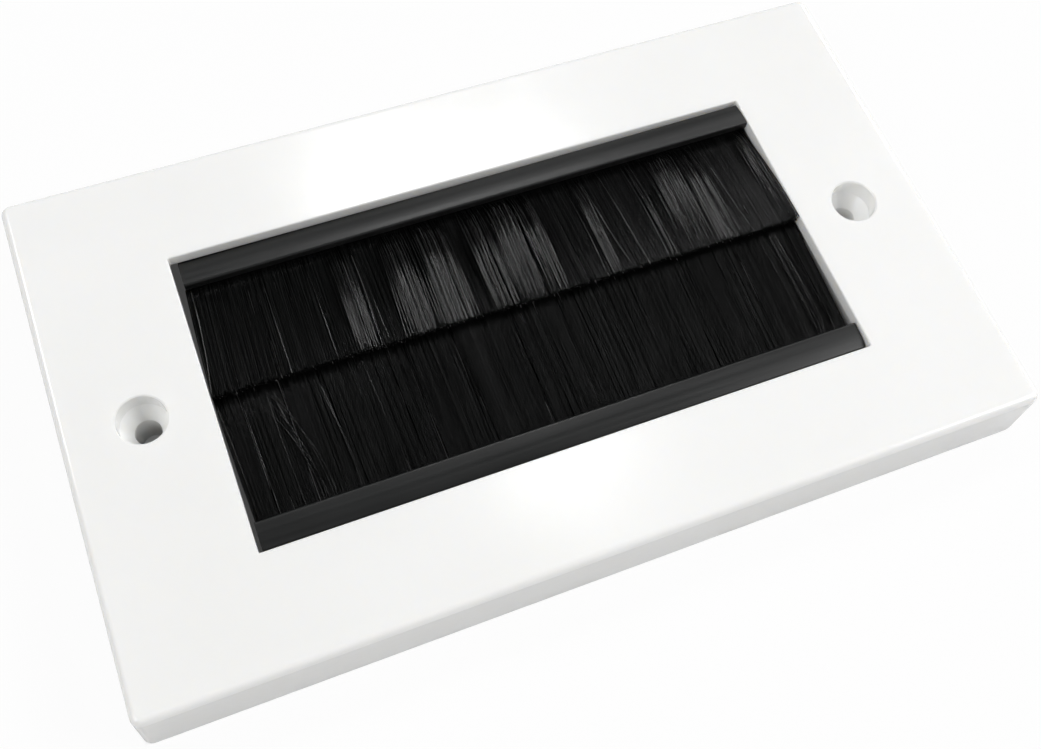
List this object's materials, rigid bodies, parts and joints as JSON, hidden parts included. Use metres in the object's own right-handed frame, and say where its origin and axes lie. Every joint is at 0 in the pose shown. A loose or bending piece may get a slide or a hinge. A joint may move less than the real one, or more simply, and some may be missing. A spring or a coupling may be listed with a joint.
{
  "type": "brush wall plate",
  "caption": "Double-size white moulded wall plate with a rectangular opening closed by two overlapping strip brushes for passing cables.",
  "frame": {"origin": "centre of the back rim, which lies on the wall, in the plane z = 0", "axes": "+X along the plate's length to the right, +Y up the plate as it is fixed to a wall, +Z out of the front face"},
  "size_m": [0.146, 0.086, 0.0115],
  "materials": {
    "white_moulding": "polished moulded white",
    "black_rail": "satin extruded black",
    "zinc_strip": "zinc-coated folded strip",
    "steel_wire": "drawn wire",
    "black_bristle": "fine black filaments with a soft sheen"
  },
  "bodies": {
    "root": {"faceplate": "white_moulding", "upper_rail": "black_rail", "lower_rail": "black_rail", "upper_channel": "zinc_strip", "lower_channel": "zinc_strip", "upper_core_wire": "steel_wire", "lower_core_wire": "steel_wire", "upper_bristles": "black_bristle", "lower_bristles": "black_bristle"}
  },
  "joints": []
}
